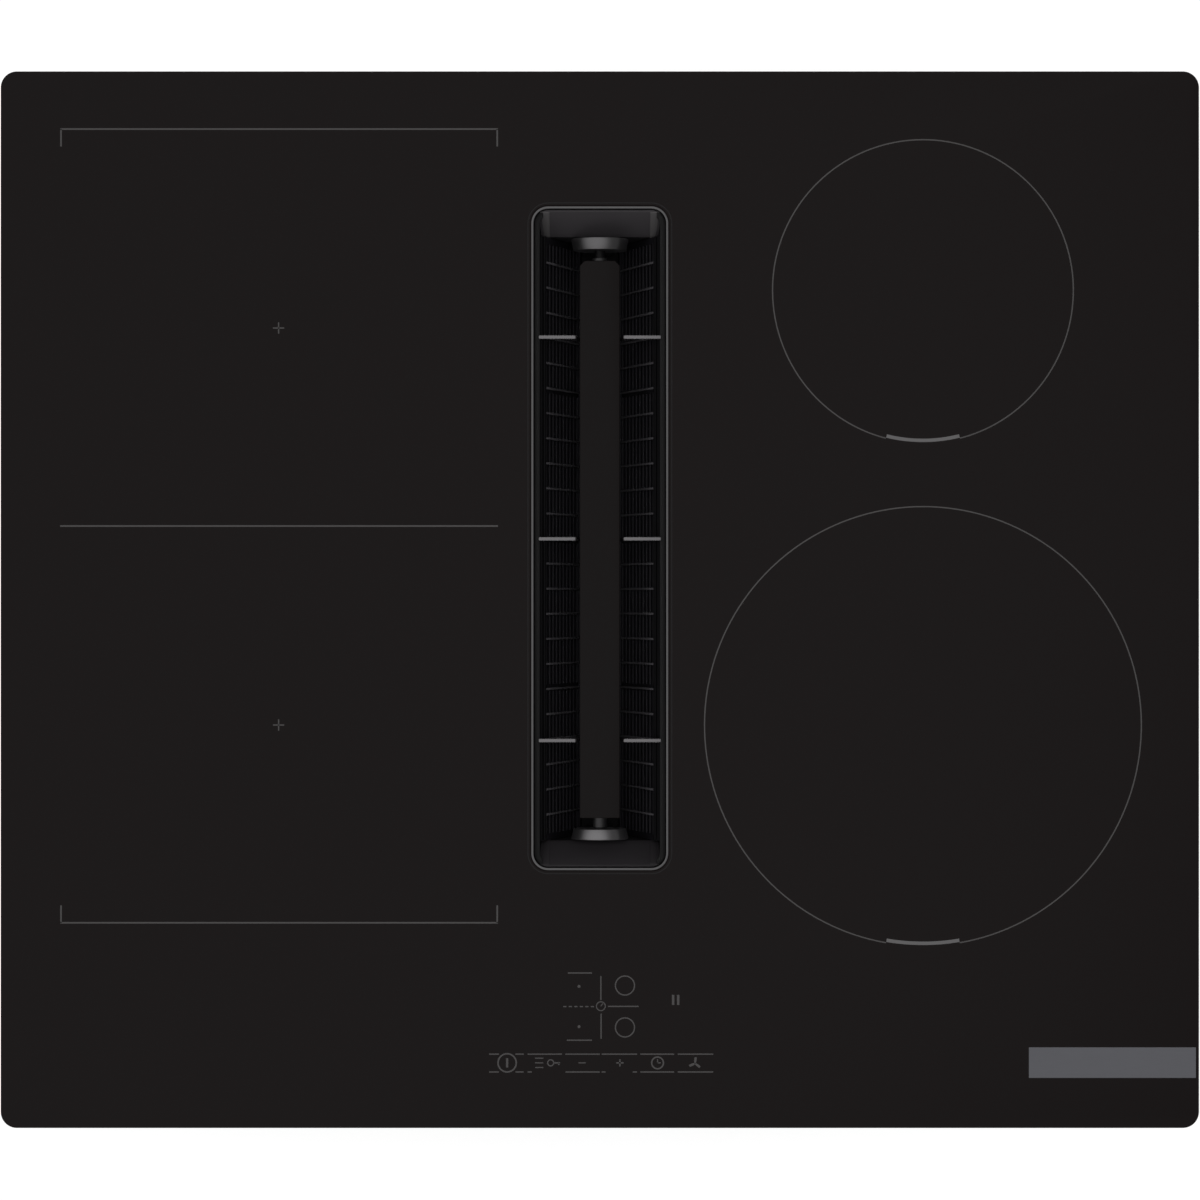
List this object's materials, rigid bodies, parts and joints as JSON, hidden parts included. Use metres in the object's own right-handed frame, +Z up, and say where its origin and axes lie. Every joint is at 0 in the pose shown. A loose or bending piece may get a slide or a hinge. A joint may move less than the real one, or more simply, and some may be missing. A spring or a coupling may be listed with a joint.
{
  "type": "downdraft induction cooktop",
  "caption": "Flush black glass induction hob with a central vent slot, lift-out V-shaped filter cassette, blower scroll and flat duct outlet underneath",
  "frame": {"origin": "middle of the overall box, on the underside of the blower housing", "axes": "+X to the cook's right, +Y to the rear of the worktop, +Z up"},
  "size_m": [0.592, 0.522, 0.223],
  "materials": {
    "glass_black": "black glass-ceramic with a polished face",
    "foam_seal": "black closed-cell foam strip",
    "sheet_steel": "zinc-coated sheet steel, folded",
    "spring_steel": "thin spring steel",
    "trim_metal": "satin stainless steel",
    "filter_metal": "dark-coated stainless slats",
    "housing_plastic": "dark grey moulded plastic",
    "cassette_plastic": "black moulded plastic",
    "aluminium_sheet": "bare aluminium",
    "copper_winding": null,
    "circuit_board": "green glass-fibre circuit board",
    "sensor_ceramic": "white ceramic sensor holder"
  },
  "bodies": {
    "hob": {"glass_panel": "glass_black", "edge_seal": "foam_seal", "glass_support_ring": "sheet_steel", "hob_case": "sheet_steel", "worktop_clip_front_left": "spring_steel", "worktop_clip_front_right": "spring_steel", "worktop_clip_rear_left": "spring_steel", "worktop_clip_rear_right": "spring_steel", "vent_trim": "trim_metal", "vent_shaft": "housing_plastic", "scroll_housing": "housing_plastic", "outlet_spigot": "housing_plastic", "plenum_floor": "housing_plastic", "plenum_housing": "housing_plastic", "blower_motor": "sheet_steel", "container_lid": "housing_plastic", "coil_plate_left": "aluminium_sheet", "coil_plate_right": "aluminium_sheet", "mains_choke": "copper_winding", "control_board": "circuit_board", "control_holder": "cassette_plastic", "mains_terminal_box": "cassette_plastic", "cable_gland": "cassette_plastic", "coil_carrier_front_left": "cassette_plastic", "coil_winding_front_left": "copper_winding", "zone_sensor_front_left": "sensor_ceramic", "coil_carrier_rear_left": "cassette_plastic", "coil_winding_rear_left": "copper_winding", "zone_sensor_rear_left": "sensor_ceramic", "coil_carrier_front_right": "cassette_plastic", "coil_winding_front_right": "copper_winding", "zone_sensor_front_right": "sensor_ceramic", "coil_carrier_rear_right": "cassette_plastic", "coil_winding_rear_right": "copper_winding", "zone_sensor_rear_right": "sensor_ceramic", "power_board_left": "circuit_board", "heat_sink_left": "aluminium_sheet", "cooling_fan_frame_left": "cassette_plastic", "power_board_right": "circuit_board", "heat_sink_right": "aluminium_sheet", "cooling_fan_frame_right": "cassette_plastic"},
    "filter_cassette": {"filter_frame": "cassette_plastic", "filter_wall_left": "filter_metal", "filter_wall_right": "filter_metal", "filter_ladder_left": "filter_metal", "filter_ladder_right": "filter_metal", "grip_bar": "glass_black", "bar_bracket_front": "trim_metal", "bar_bracket_rear": "trim_metal", "cross_rib_front": "trim_metal", "cross_rib_middle": "trim_metal", "cross_rib_rear": "trim_metal"},
    "tray": {"condensate_tray": "cassette_plastic"},
    "container": {"overflow_container": "cassette_plastic"},
    "blower_wheel": {"impeller": "cassette_plastic", "blower_rotor": "sheet_steel"},
    "cooling_wheel_left": {"cooling_fan_rotor_left": "cassette_plastic"},
    "cooling_wheel_right": {"cooling_fan_rotor_right": "cassette_plastic"}
  },
  "joints": [
    {"name": "cassette_lift", "type": "slide", "parent": "hob", "child": "filter_cassette", "axis": [0, 0, 1], "range_m": [0, 0.115]},
    {"name": "tray_unclip", "type": "slide", "parent": "filter_cassette", "child": "tray", "axis": [0, 0, -1], "range_m": [0, 0.012]},
    {"name": "container_release", "type": "slide", "parent": "hob", "child": "container", "axis": [0, 0, -1], "range_m": [0, 0.095]},
    {"name": "blower_spin", "type": "hinge", "parent": "hob", "child": "blower_wheel", "pos_m": [0.05, 0.02, 0.045], "axis": [0, 0, 1], "continuous": true},
    {"name": "cooling_spin_left", "type": "hinge", "parent": "hob", "child": "cooling_wheel_left", "pos_m": [-0.154, -0.196, 0.17], "axis": [0, 0, 1], "continuous": true},
    {"name": "cooling_spin_right", "type": "hinge", "parent": "hob", "child": "cooling_wheel_right", "pos_m": [0.154, -0.196, 0.17], "axis": [0, 0, 1], "continuous": true}
  ]
}
